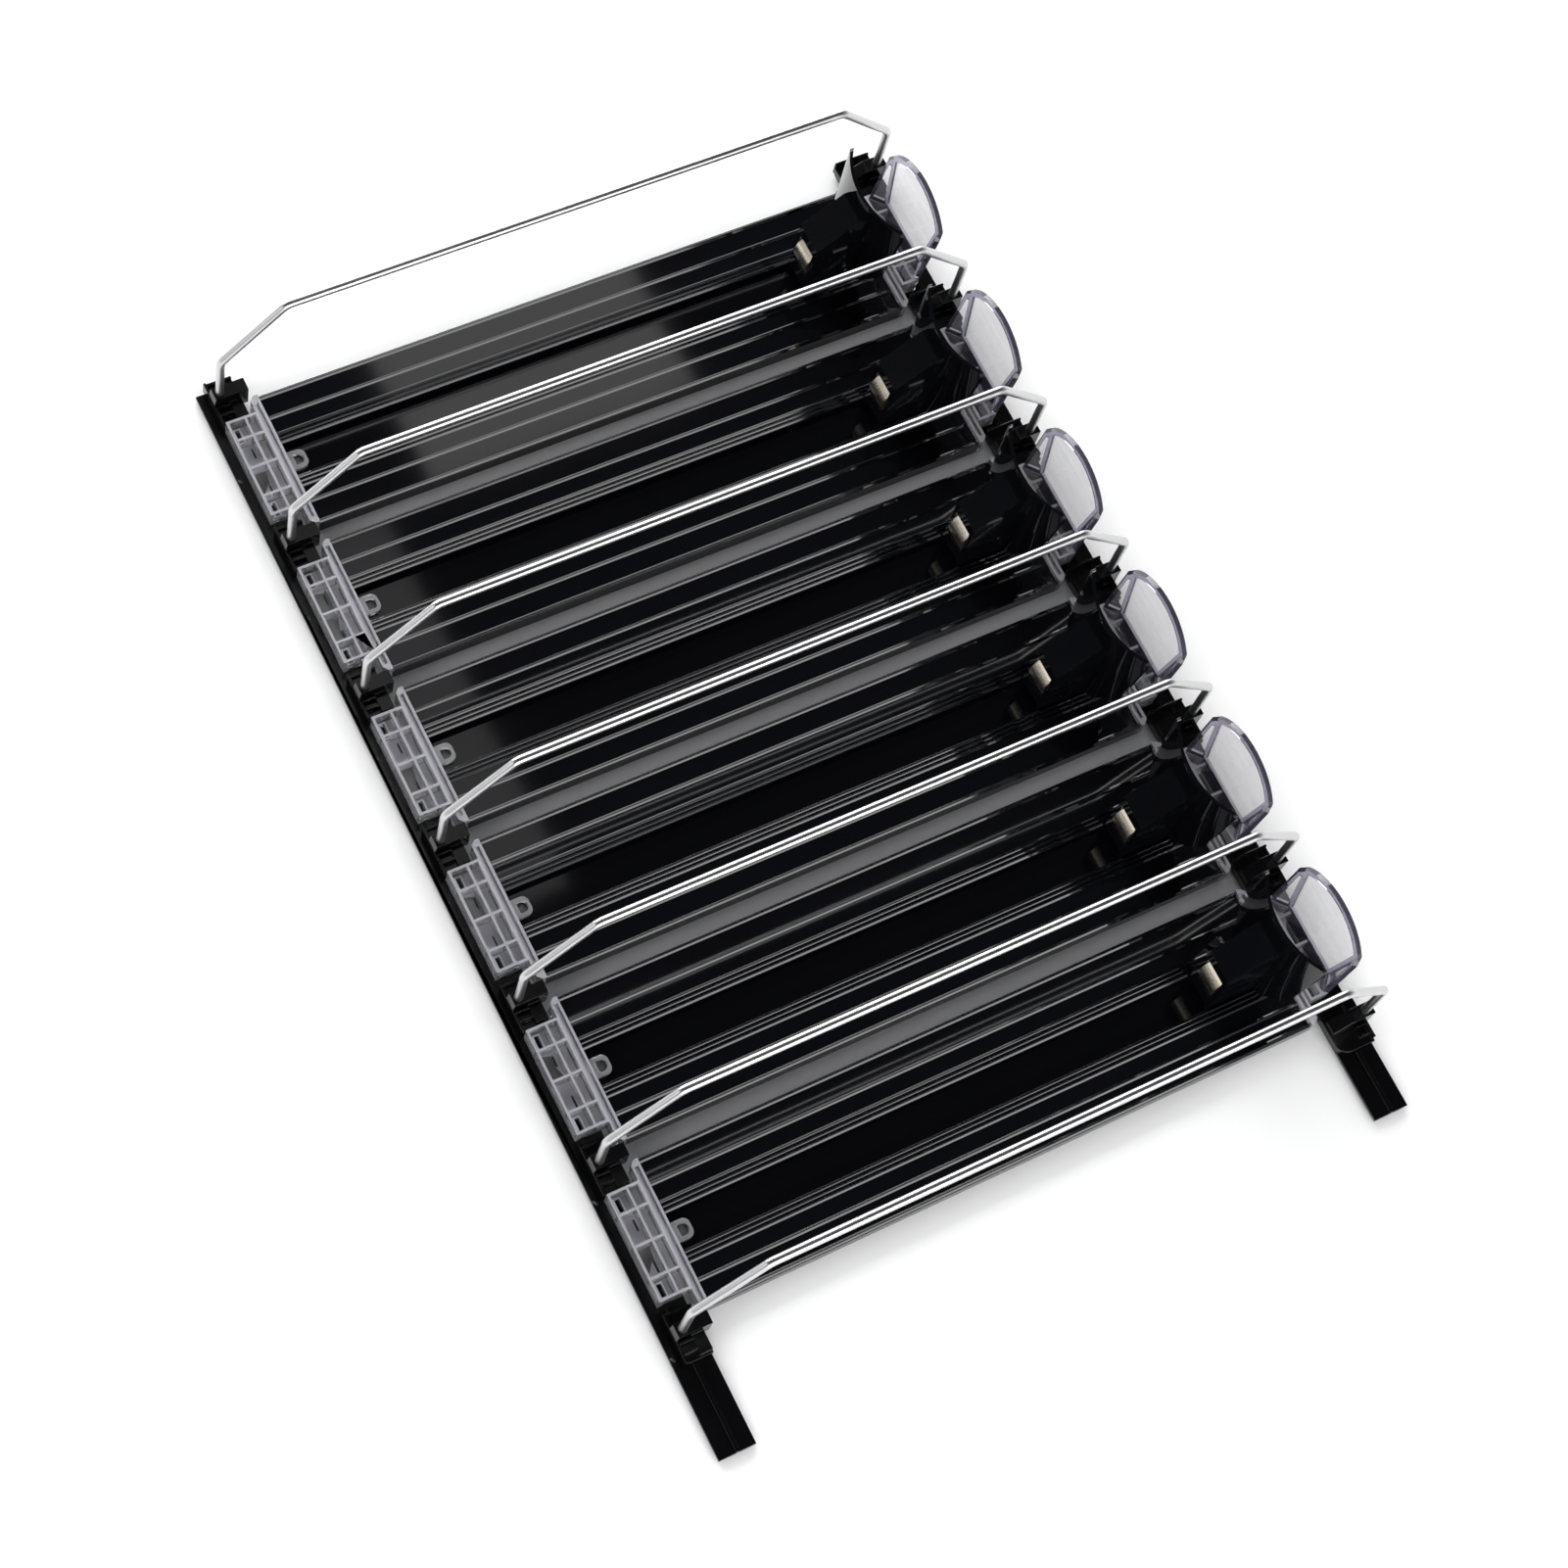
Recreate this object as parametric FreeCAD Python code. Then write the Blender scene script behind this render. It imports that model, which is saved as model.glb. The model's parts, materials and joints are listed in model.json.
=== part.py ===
import FreeCAD, Part
import math
import os
from FreeCAD import Vector

# Six-lane can organizer for a fridge shelf, in millimetres.
# +X runs along the rails, +Y to the rear of the shelf, +Z up, and the shelf is z = 0.
# The origin is the centre of the footprint, on the shelf.

# Lanes
lane_count = 6
lane_gap = 8.8

# Rails: a flat extruded strip with a narrow foot and a dovetail rib that the mouldings grip
rail_spacing = 317.75
rail_width = 16.7
rail_foot_inset = 1.8
rail_foot_height = 0.8
rail_flange = 1.8
rib_height = 1.4
rib_root = 1.0
rib_head = 1.8
rear_rail_left = 51.5
front_rail_left = 42.5
rail_right = 7.5
rail_slot_pitch = 70.3
rail_slot_length = 2.2
rail_slot_width = 0.9
rail_slot_angle = 25.0
rail_slot_edge_gap = 0.35
rail_slot_first = 43.7
rail_top = rail_foot_height + rail_flange

# Running clearance of everything that slides on a rail or in a track
slide_gap = 0.15
foot_gap = 0.3
clip_gap = 0.9

# Track: a thin ribbed deck on two skirts, with a slotted channel down the middle
track_width = 66.4
track_skirt = 1.4
deck_top = 6.8
deck_wall = 1.4
deck_rib_height = 0.7
deck_rib_base = 1.8
deck_rib_tip = 0.4
inner_rib_count = 3
inner_rib_inset = 1.0
inner_rib_pitch = 2.0
outer_rib_inset = 11.6
edge_rib_inset = 1.2
slot_half = 8.2
lip_wall = 1.8
channel_half = 11.5
channel_wall = 1.4
channel_floor_z = 2.6

# Clear connector and stop base, measured outward from the rail's centre line
base_inset = 9.0
base_outer = 3.65
base_mid_wall = 5.05
base_inner = 11.05
base_plate = 2.1
cell_wall = 1.2
outer_cell = 9.4
cell_wall_height = 12.0
socket_depth = 4.0
socket_top = 9.4
socket_chamfer = 2.0
socket_groove = 1.5
socket_groove_depth = 3.0
tongue_side_gap = 0.5
tongue_length = 7.0
tongue_gap = 0.2
tongue_thickness = 2.2
tab_width = 9.0
tab_length = 8.7
tab_thickness = 1.8
tab_corner = 3.0
tab_hole_width = 5.0
tab_hole_corner = 2.2
tab_hole_depth = 4.2
tab_hole_inset = 1.4
window_length = 5.5
window_width = 2.0
window_inset = 4.8
window_rim = 0.7
window_rim_height = 1.0
window_outward = -0.55
slot_length = 5.0
slot_width = 0.8
slot_inset = 4.9

# Clear front stop: an arched pane with two folded wings
stop_wing_width = 6.7
stop_shoulder_inset = 2.2
stop_shoulder = 44.5
stop_apex = 56.0
stop_wing_back = 6.0
stop_wing_top = 41.0
stop_wall = 2.3
stop_pane = 1.2
stop_rim = 2.4
wing_rim = 1.1
stop_seat = 1.0

# Pusher
paddle_radius = 41.0
paddle_wall = 1.5
paddle_half_top = 24.8
paddle_half_low = 22.0
paddle_half_foot = 12.0
paddle_top = 62.0
paddle_low = 23.0
paddle_lift = 1.4
paddle_corner = 3.0
paddle_setback = 31.2
housing_width = 15.7
housing_length = 21.5
housing_back_height = 39.5
housing_front_height = 54.0
housing_slope_end = 2.5
housing_roof = 1.6
housing_back_wall = 1.2
housing_front_wall = 1.4
window_low = 15.5
window_high = 33.5
foot_wall = 2.0
foot_lap = 0.5

# Roller spring
coil_radius = 9.3
coil_width = 11.0
coil_side_gap = 0.2
strip_thickness = 0.35
strip_lift = 0.2
strip_end_gap = 1.0
coil_bulge = 3.0
coil_height = 23.6

# Divider wire
wire_diameter = 3.8
wire_bend = 5.5
wire_leg_spacing = 326.0
wire_height = 70.8
wire_chamfer = 29.4
wire_foot_gap = 0.8
wire_hole_gap = 0.05
wire_rear_offset = 0.45

# Divider clips
clip_right_gap = 4.6
clip_saddle_top = 6.6
clip_wall_top = 9.6
clip_wall = 1.1
clip_rib_offsets = (4.4, 8.4)
clip_panel_width = 5.6
clip_step_top = 8.2
post_width = 6.0
post_top = 14.0
post_overhang = 3.3
rear_clip_outer = 4.4
front_clip_inner = 9.0
front_post_inner = 8.0
post_tail = 2.6

# How far a cutting tool reaches past what it cuts, and a joined piece into its neighbour
cut_margin = 1.0
joint_lap = 1.0

# Derived places
divider_count = lane_count + 1
lane_pitch = track_width + lane_gap
track_half = track_width / 2
half_base = track_half - base_inset
clip_left = lane_pitch / 2 - half_base - clip_gap
clip_right = lane_pitch / 2 - half_base - clip_right_gap
half_rail = rail_width / 2
total_length = rear_rail_left + lane_count * lane_pitch + clip_right
first_divider_x = -total_length / 2 + rear_rail_left
last_divider_x = first_divider_x + lane_count * lane_pitch
total_depth = rail_spacing + half_rail * 2 + post_overhang
rear_rail_y = total_depth / 2 - half_rail
front_rail_y = rear_rail_y - rail_spacing
base_reach = base_inner + socket_depth
track_rear_y = rear_rail_y - base_reach
track_front_y = front_rail_y + base_reach
first_rib = slot_half + inner_rib_inset
deck_rib_offsets = [first_rib + index * inner_rib_pitch for index in range(inner_rib_count)]
deck_rib_offsets += [track_half - outer_rib_inset, track_half - edge_rib_inset]
cell_rib_pitch = half_base - cell_wall / 2 - outer_cell
window_offset = cell_rib_pitch + window_inset
slot_offset = cell_rib_pitch - slot_inset
stop_fold_low = half_base - stop_wing_width
stop_fold_high = half_base - stop_shoulder_inset
base_bottom = rail_top + slide_gap
plate_top = base_bottom + base_plate
wire_radius = wire_diameter / 2
wire_rear_y = rear_rail_y + wire_rear_offset
wire_front_y = wire_rear_y - wire_leg_spacing
wire_top_z = wire_height - wire_radius
wire_foot_z = rail_top + rib_height + wire_foot_gap
deck_bottom = deck_top - deck_wall
lip_bottom = deck_top - lip_wall
channel_bottom = channel_floor_z - channel_wall
rib_tip_z = deck_top + deck_rib_height
tab_tip_front_y = track_front_y + tab_length
paddle_back_y = front_rail_y + paddle_setback
housing_back_y = paddle_back_y + housing_length
coil_y = housing_back_y - housing_back_wall + coil_bulge - coil_radius
tail_front_y = track_front_y + strip_end_gap


def divider_x(index):
    return first_divider_x + index * lane_pitch


def lane_x(index):
    return first_divider_x + (index + 0.5) * lane_pitch


def box(x0, x1, y0, y1, z0, z1):
    return Part.makeBox(x1 - x0, y1 - y0, z1 - z0, Vector(x0, y0, z0))


def polygon_face(points):
    return Part.Face(Part.makePolygon(points + points[:1]))


def prism_x(points_yz, x0, x1):
    face = polygon_face([Vector(x0, y, z) for y, z in points_yz])
    return face.extrude(Vector(x1 - x0, 0, 0))


def prism_y(points_xz, y0, y1):
    face = polygon_face([Vector(x, y0, z) for x, z in points_xz])
    return face.extrude(Vector(0, y1 - y0, 0))


def prism_z(points_xy, z0, z1):
    face = polygon_face([Vector(x, y, z0) for x, y in points_xy])
    return face.extrude(Vector(0, 0, z1 - z0))


def rail_section(centre_y):
    """Foot, flange and dovetail rib of a rail, as points in the YZ plane."""
    foot = half_rail - rail_foot_inset
    right = [
        (foot, 0), (foot, rail_foot_height), (half_rail, rail_foot_height), (half_rail, rail_top),
        (rib_root / 2, rail_top), (rib_head / 2, rail_top + rib_height),
    ]
    left = [(-y, z) for y, z in reversed(right)]
    return [(centre_y + y, z) for y, z in right + left]


def rail_slots(left_x, right_x, centre_y):
    """Slanted drain slots along the rear edge of a rail."""
    y = centre_y + half_rail - rail_slot_edge_gap - rail_slot_width
    x = left_x + rail_slot_first
    slots = []
    while x < right_x - rail_slot_length:
        slot = box(-rail_slot_length / 2, rail_slot_length / 2, -rail_slot_width / 2, rail_slot_width / 2,
                   -cut_margin, rail_top + cut_margin)
        slot.rotate(Vector(0, 0, 0), Vector(0, 0, 1), rail_slot_angle)
        slot.translate(Vector(x, y, 0))
        slots.append(slot)
        x += rail_slot_pitch
    return slots


def rail(left_x, centre_y):
    right_x = last_divider_x + rail_right
    strip = prism_x(rail_section(centre_y), left_x, right_x)
    return strip.cut(rail_slots(left_x, right_x, centre_y))


def rib_groove(x0, x1, centre_y):
    """The dovetail groove, with its running clearance, in a moulding that rides on a rail."""
    root = rib_root / 2 + slide_gap
    head = rib_head / 2 + slide_gap
    top = rail_top + rib_height + slide_gap
    low = rail_top - cut_margin
    section = [(-root, low), (root, low), (root, rail_top), (head, top), (-head, top), (-root, rail_top)]
    return prism_x([(centre_y + y, z) for y, z in section], x0 - cut_margin, x1 + cut_margin)


def track_section():
    """Half of the deck, from the slot to the skirt and back under it, as points in the XZ plane."""
    half = [(slot_half, deck_top)]
    for offset in deck_rib_offsets:
        half += [
            (offset - deck_rib_base / 2, deck_top), (offset - deck_rib_tip / 2, rib_tip_z),
            (offset + deck_rib_tip / 2, rib_tip_z), (offset + deck_rib_base / 2, deck_top),
        ]
    inner_skirt = track_half - track_skirt
    outer_channel = channel_half + channel_wall
    half += [
        (track_half, deck_top), (track_half, 0), (inner_skirt, 0), (inner_skirt, deck_bottom),
        (outer_channel, deck_bottom), (outer_channel, channel_bottom),
    ]
    return half


def tab_outline(width, near_y, far_y, corner):
    """A tongue's outline, rounded at its far end, as a face at z = 0."""
    sign = 1 if far_y > near_y else -1
    half = width / 2
    shoulder = far_y - sign * corner
    swing = corner * (1 - math.sqrt(0.5))
    right_mid = Vector(half - swing, far_y - sign * swing, 0)
    left_mid = Vector(-half + swing, far_y - sign * swing, 0)
    edges = [
        Part.makeLine(Vector(-half, near_y, 0), Vector(half, near_y, 0)),
        Part.makeLine(Vector(half, near_y, 0), Vector(half, shoulder, 0)),
        Part.Arc(Vector(half, shoulder, 0), right_mid, Vector(half - corner, far_y, 0)).toShape(),
    ]
    if half > corner:
        edges.append(Part.makeLine(Vector(half - corner, far_y, 0), Vector(corner - half, far_y, 0)))
    edges += [
        Part.Arc(Vector(corner - half, far_y, 0), left_mid, Vector(-half, shoulder, 0)).toShape(),
        Part.makeLine(Vector(-half, shoulder, 0), Vector(-half, near_y, 0)),
    ]
    return Part.Face(Part.Wire(edges))


def tab_hole(base_y, direction, low, high):
    """The D-shaped hole near the tip of a tab, flat side towards the rail."""
    near = base_y + direction * (tab_length - tab_hole_inset - tab_hole_depth)
    far = base_y + direction * (tab_length - tab_hole_inset)
    hole = tab_outline(tab_hole_width, near, far, tab_hole_corner)
    hole.translate(Vector(0, 0, low))
    return hole.extrude(Vector(0, 0, high - low))


def track(centre_x):
    half = track_section()
    channel = [(channel_half, lip_bottom), (channel_half, channel_floor_z)]
    mirrored = [(-x, z) for x, z in reversed(half)]
    inside = [(-slot_half, lip_bottom), (-channel_half, lip_bottom), (-channel_half, channel_floor_z)]
    section = half + mirrored + inside + channel[::-1] + [(slot_half, lip_bottom)]
    body = prism_y(section, track_front_y, track_rear_y)
    body = body.cut(tab_hole(track_rear_y, -1, channel_bottom - cut_margin, channel_floor_z + cut_margin))
    body.translate(Vector(centre_x, 0, 0))
    return body


def cell_pockets():
    """The open cells: two rows of four, between the lengthwise walls and the cross ribs."""
    end = half_base - cell_wall / 2
    ribs = [-end, -cell_rib_pitch, 0, cell_rib_pitch, end]
    rows = [(-base_inner + cell_wall, -base_mid_wall - cell_wall / 2),
            (-base_mid_wall + cell_wall / 2, base_outer - cell_wall)]
    pockets = []
    for near, far in rows:
        for left, right in zip(ribs[:-1], ribs[1:]):
            pockets.append(box(left + cell_wall / 2, right - cell_wall / 2, near, far,
                               plate_top, cell_wall_height + cut_margin))
    return pockets


def socket_bar():
    """The grooved bar across the track's end, with chamfered outer corners."""
    near = -base_inner - socket_depth
    far = -base_inner
    half = track_half
    plan = [
        (-half, near), (half, near), (half, far - socket_chamfer), (half - socket_chamfer, far),
        (-half + socket_chamfer, far), (-half, far - socket_chamfer),
    ]
    bar = prism_z(plan, 0, socket_top)
    middle = (near + far) / 2
    groove_end = half - socket_chamfer - cell_wall
    groove = box(-groove_end, groove_end, middle - socket_groove / 2, middle + socket_groove / 2,
                 socket_top - socket_groove_depth, socket_top + cut_margin)
    return bar.cut(groove)


def tongues():
    """Two flat tongues that plug in under the deck, one each side of the channel."""
    inner = channel_half + channel_wall + tongue_gap
    outer = track_half - track_skirt - tongue_side_gap
    top = deck_bottom - tongue_gap
    root = -base_reach
    shapes = []
    for low, high in ((-outer, -inner), (inner, outer)):
        shapes.append(box(low, high, root - tongue_length, root + joint_lap, top - tongue_thickness, top))
    return shapes


def locking_tab():
    """The rounded tab that lies in the channel, with its D-shaped hole."""
    face = tab_outline(tab_width, -base_reach + joint_lap, -base_reach - tab_length, tab_corner)
    low = channel_floor_z + tongue_gap
    face.translate(Vector(0, 0, low))
    tab = face.extrude(Vector(0, 0, tab_thickness))
    return tab.cut(tab_hole(-base_reach, -1, low - cut_margin, low + tab_thickness + cut_margin))


def window_rims():
    rims = []
    for side in (-1, 1):
        x = side * window_offset
        half_length = window_length / 2 + window_rim
        near = window_outward - window_width / 2 - window_rim
        far = window_outward + window_width / 2 + window_rim
        rims.append(box(x - half_length, x + half_length, near, far,
                        base_bottom, plate_top + window_rim_height))
    return rims


def windows():
    """Rimmed windows through the floor of the outer cells."""
    high = plate_top + window_rim_height + cut_margin
    near = window_outward - window_width / 2
    left = [side * window_offset - window_length / 2 for side in (-1, 1)]
    return [box(x, x + window_length, near, near + window_width, 0, high) for x in left]


def floor_slots():
    """Thin slots through the floor, beside the wall between the rows of cells."""
    near = -base_mid_wall + cell_wall / 2 + slot_width
    left = [side * slot_offset - slot_length / 2 for side in (-1, 1)]
    return [box(x, x + slot_length, near, near + slot_width, 0, plate_top + cut_margin) for x in left]


def connector_base(outline, inner_outline, rims, openings):
    """The part of a connector that both ends share, with outward as +Y and the rail centre at y = 0."""
    room = prism_z(inner_outline, base_bottom, cell_wall_height + cut_margin)
    pockets = [pocket.common(room) for pocket in cell_pockets()]
    block = prism_z(outline, base_bottom, cell_wall_height).cut(pockets)
    body = block.fuse([socket_bar(), locking_tab()] + tongues() + rims)
    return body.cut([rib_groove(-half_base, half_base, 0)] + openings)


def rear_connector(centre_x):
    outline = [(-half_base, -base_inner), (half_base, -base_inner), (half_base, base_outer),
               (-half_base, base_outer)]
    body = connector_base(outline, outline, window_rims(), windows() + floor_slots()).removeSplitter()
    body.translate(Vector(centre_x, rear_rail_y, 0))
    return body


def stop_fold(z):
    """Half width of the stop's flat pane at height z."""
    rate = (stop_fold_high - stop_fold_low) / (stop_shoulder - cell_wall_height)
    return stop_fold_low + (z - cell_wall_height) * rate


def fold_point(z):
    return Vector(stop_fold(z), base_outer, z)


def wing_point(x, z):
    """Point at x and height z of the right wing's outer plane, which holds the fold and the base's corner."""
    origin = fold_point(cell_wall_height)
    corner = Vector(half_base, base_outer - stop_wing_back, cell_wall_height)
    normal = (fold_point(stop_shoulder) - origin).cross(corner - origin)
    offset = normal.x * (x - origin.x) + normal.z * (z - origin.z)
    return Vector(x, origin.y - offset / normal.y, z)


def wings():
    """The two flat wings, folded back from the pane and thinner inside their rims."""
    low = cell_wall_height - stop_seat
    points = [fold_point(low), wing_point(half_base, low), wing_point(half_base, stop_wing_top),
              fold_point(stop_shoulder)]
    inward = (points[1] - points[0]).cross(points[3] - points[0]).normalize()
    panel_low = cell_wall_height + stop_rim
    panel_high = stop_wing_top - stop_rim
    panel_outer = half_base - wing_rim
    panel = polygon_face([
        wing_point(stop_fold(panel_low) + wing_rim, panel_low), wing_point(panel_outer, panel_low),
        wing_point(panel_outer, panel_high), wing_point(stop_fold(panel_high) + wing_rim, panel_high),
    ])
    panel.translate(inward * stop_pane)
    right = polygon_face(points).extrude(inward * stop_wall).cut(panel.extrude(inward * stop_wall))
    return [right, right.mirror(Vector(0, 0, 0), Vector(1, 0, 0))]


def arched_face(inset, low, shoulder, y):
    """The pane's outline drawn in by inset: straight sides up to the shoulders and an arch between them."""
    points = [Vector(-stop_fold(shoulder) + inset, y, shoulder), Vector(-stop_fold(low) + inset, y, low),
              Vector(stop_fold(low) - inset, y, low), Vector(stop_fold(shoulder) - inset, y, shoulder)]
    edges = [Part.makeLine(a, b) for a, b in zip(points[:-1], points[1:])]
    edges.append(Part.Arc(points[-1], Vector(0, y, stop_apex - inset), points[0]).toShape())
    return Part.Face(Part.Wire(edges))


def stop_plate():
    """The arched pane, thinner inside its rim, with its wings."""
    pane = arched_face(0, cell_wall_height - stop_seat, stop_shoulder, base_outer)
    pane = pane.extrude(Vector(0, -stop_wall, 0))
    panel_shoulder = stop_shoulder - stop_rim / 2
    recess = arched_face(stop_rim, cell_wall_height + stop_rim, panel_shoulder, base_outer - stop_pane)
    return pane.fuse(wings()).cut(recess.extrude(Vector(0, -stop_wall, 0)))


def front_stop(centre_x):
    back = base_outer - stop_wing_back
    outline = [(-half_base, -base_inner), (half_base, -base_inner), (half_base, back),
               (stop_fold_low, base_outer), (-stop_fold_low, base_outer), (-half_base, back)]
    inner = [(x - math.copysign(cell_wall, x), y - stop_wall) for x, y in outline]
    body = connector_base(outline, inner, [], floor_slots()).fuse(stop_plate()).removeSplitter()
    body = body.mirror(Vector(0, 0, 0), Vector(0, 1, 0))
    body.translate(Vector(centre_x, front_rail_y, 0))
    return body


def paddle_outline():
    """The paddle seen from the front: wide and round-cornered at the top, drawn in towards the foot."""
    lift = rib_tip_z + paddle_lift
    swing = paddle_corner * (1 - math.sqrt(0.5))
    half = paddle_half_top
    right = [Vector(paddle_half_foot, 0, lift), Vector(paddle_half_low, 0, paddle_low),
             Vector(half, 0, paddle_top - paddle_corner)]
    left = [Vector(-p.x, p.y, p.z) for p in reversed(right)]
    shoulder = Vector(half - paddle_corner, 0, paddle_top)
    far_shoulder = Vector(-shoulder.x, 0, paddle_top)
    bend = Vector(half - swing, 0, paddle_top - swing)
    edges = [Part.makeLine(a, b) for a, b in zip(right[:-1], right[1:])]
    edges.append(Part.Arc(right[-1], bend, shoulder).toShape())
    edges.append(Part.makeLine(shoulder, far_shoulder))
    edges.append(Part.Arc(far_shoulder, Vector(-bend.x, 0, bend.z), left[0]).toShape())
    edges += [Part.makeLine(a, b) for a, b in zip(left[:-1], left[1:])]
    edges.append(Part.makeLine(left[-1], right[0]))
    return Part.Face(Part.Wire(edges))


def paddle():
    """A slice of an upright tube, hollow side to the front, cut to the paddle's outline."""
    centre = Vector(0, paddle_back_y - paddle_radius, 0)
    height = paddle_top + cut_margin
    ring = Part.makeCylinder(paddle_radius, height, centre)
    ring = ring.cut(Part.makeCylinder(paddle_radius - paddle_wall, height, centre))
    face = paddle_outline()
    face.translate(Vector(0, centre.y, 0))
    return ring.common(face.extrude(Vector(0, paddle_radius + cut_margin, 0)))


def housing():
    """The box behind the paddle that carries the coil, with a back window that the coil bulges out of."""
    half = housing_width / 2
    low = rib_tip_z
    slope_y = paddle_back_y + housing_slope_end
    front = paddle_back_y - paddle_wall
    shell = prism_x([(housing_back_y, low), (housing_back_y, housing_back_height),
                     (slope_y, housing_front_height), (front, housing_front_height), (front, low)], -half, half)
    room_half = coil_width / 2 + coil_side_gap
    room_back = housing_back_y - housing_back_wall
    room_front = paddle_back_y + housing_front_wall
    room = prism_x([(room_back, 0), (room_back, housing_back_height - housing_roof),
                    (room_front, housing_front_height - housing_roof * 2), (room_front, 0)],
                   -room_half, room_half)
    window = box(-room_half, room_half, room_back - cut_margin, housing_back_y + cut_margin,
                 window_low, window_high)
    return shell.cut([room, window])


def foot():
    """Two runners with flanges that slide under the lips of the track's channel."""
    low = channel_floor_z + foot_gap
    top = lip_bottom - foot_gap
    front = tab_tip_front_y + foot_gap
    inner = housing_width / 2 - foot_wall
    runners = []
    for side in (-1, 1):
        neck = sorted((side * inner, side * housing_width / 2))
        flange = sorted((side * inner, side * (channel_half - foot_gap)))
        runners.append(box(neck[0], neck[1], front, housing_back_y, low, rib_tip_z + foot_lap))
        runners.append(box(flange[0], flange[1], front, housing_back_y, low, top))
    return runners


def pusher(centre_x):
    body = paddle().fuse([housing()] + foot()).removeSplitter()
    body.translate(Vector(centre_x, 0, 0))
    return body


def spring(centre_x):
    """The rolled steel strip and the tail that lies in the channel, hooked over the front tab."""
    strip_z = channel_floor_z + tongue_gap + tab_thickness + strip_lift
    centre = Vector(0, coil_y, coil_height)
    start_y = paddle_back_y + housing_front_wall / 2
    to_centre = Vector(0, centre.y - start_y, centre.z - strip_z)
    reach = math.sqrt(to_centre.Length ** 2 - coil_radius ** 2)
    angle = math.atan2(to_centre.z, to_centre.y) - math.asin(coil_radius / to_centre.Length)
    touch_y = start_y + reach * math.cos(angle)
    touch_z = strip_z + reach * math.sin(angle)
    across = strip_thickness
    tail = [
        (tail_front_y, strip_z), (start_y, strip_z), (touch_y, touch_z),
        (touch_y - across * math.sin(angle), touch_z + across * math.cos(angle)),
        (start_y - across * math.tan(angle / 2), strip_z + across), (tail_front_y, strip_z + across),
    ]
    half = coil_width / 2
    axis = Vector(1, 0, 0)
    roll = Part.makeCylinder(coil_radius, coil_width, Vector(-half, centre.y, centre.z), axis)
    body = roll.fuse(prism_x(tail, -half, half))
    body.translate(Vector(centre_x, 0, 0))
    return body


def divider_wire(x):
    """Round wire bent to a frame: two legs, two slanted shoulders and a long top run."""
    corners = [
        Vector(x, wire_front_y, wire_foot_z), Vector(x, wire_front_y, wire_top_z - wire_chamfer),
        Vector(x, wire_front_y + wire_chamfer, wire_top_z), Vector(x, wire_rear_y - wire_chamfer, wire_top_z),
        Vector(x, wire_rear_y, wire_top_z - wire_chamfer), Vector(x, wire_rear_y, wire_foot_z),
    ]
    path = [corners[0]]
    for before, corner, after in zip(corners[:-2], corners[1:-1], corners[2:]):
        into = (corner - before).normalize()
        out = (after - corner).normalize()
        cut_back = wire_bend * math.tan(math.acos(into.dot(out)) / 2)
        path += [corner - into * cut_back, corner + out * cut_back]
    path.append(corners[-1])
    section = Part.Wire([Part.makeCircle(wire_radius, path[0], Vector(0, 0, 1))])
    return Part.makePolygon(path).makePipeShell([section], True, False, 1)


def wire_hole(y):
    return Part.makeCylinder(wire_radius + wire_hole_gap, post_top, Vector(0, y, wire_foot_z - wire_hole_gap))


def post(low_y, high_y, ramp_y):
    """The tall block that holds a leg, with a ramp down towards ramp_y."""
    half = post_width / 2
    profile = [(low_y, base_bottom), (low_y, post_top), (high_y, post_top), (ramp_y, clip_step_top),
               (ramp_y, base_bottom)]
    return prism_x(profile, -half, half)


def rounded_saddle(low_y, high_y, corner):
    """The flat body over the rail, with one large rounded corner at its left end."""
    swing = corner * (1 - math.sqrt(0.5))
    a = Vector(-clip_left + corner, high_y, base_bottom)
    b = Vector(-clip_left, high_y - corner, base_bottom)
    bend = Vector(-clip_left + swing, high_y - swing, base_bottom)
    points = [b, Vector(-clip_left, low_y, base_bottom), Vector(clip_right, low_y, base_bottom),
              Vector(clip_right, high_y, base_bottom), a]
    edges = [Part.makeLine(p, q) for p, q in zip(points[:-1], points[1:])]
    edges.append(Part.Arc(a, bend, b).toShape())
    return Part.Face(Part.Wire(edges)).extrude(Vector(0, 0, clip_saddle_top - base_bottom))


def clip_ribs(low_y, high_y):
    left = [-offset - clip_wall / 2 for offset in clip_rib_offsets]
    return [box(x, x + clip_wall, low_y, high_y, base_bottom, clip_wall_top) for x in left]


def rear_clip(x):
    """Clip on the rear rail: the post reaches over the rail's inner edge."""
    low = -half_rail
    high = rear_clip_outer
    parts = [
        post(low - post_overhang, wire_radius + post_tail - clip_wall, high),
        box(-clip_left + clip_wall, -post_width / 2, low, low + clip_panel_width, base_bottom, clip_step_top),
        box(-clip_left, clip_right, high - clip_wall, high, base_bottom, clip_wall_top),
        box(clip_right - clip_wall, clip_right, low, high, base_bottom, clip_step_top),
    ] + clip_ribs(low + clip_panel_width, high)
    body = rounded_saddle(low, high, clip_panel_width / 2).fuse(parts)
    body = body.cut([rib_groove(-clip_left, clip_right, 0), wire_hole(wire_rear_y - rear_rail_y)])
    body.translate(Vector(x, rear_rail_y, 0))
    return body.removeSplitter()


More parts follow.
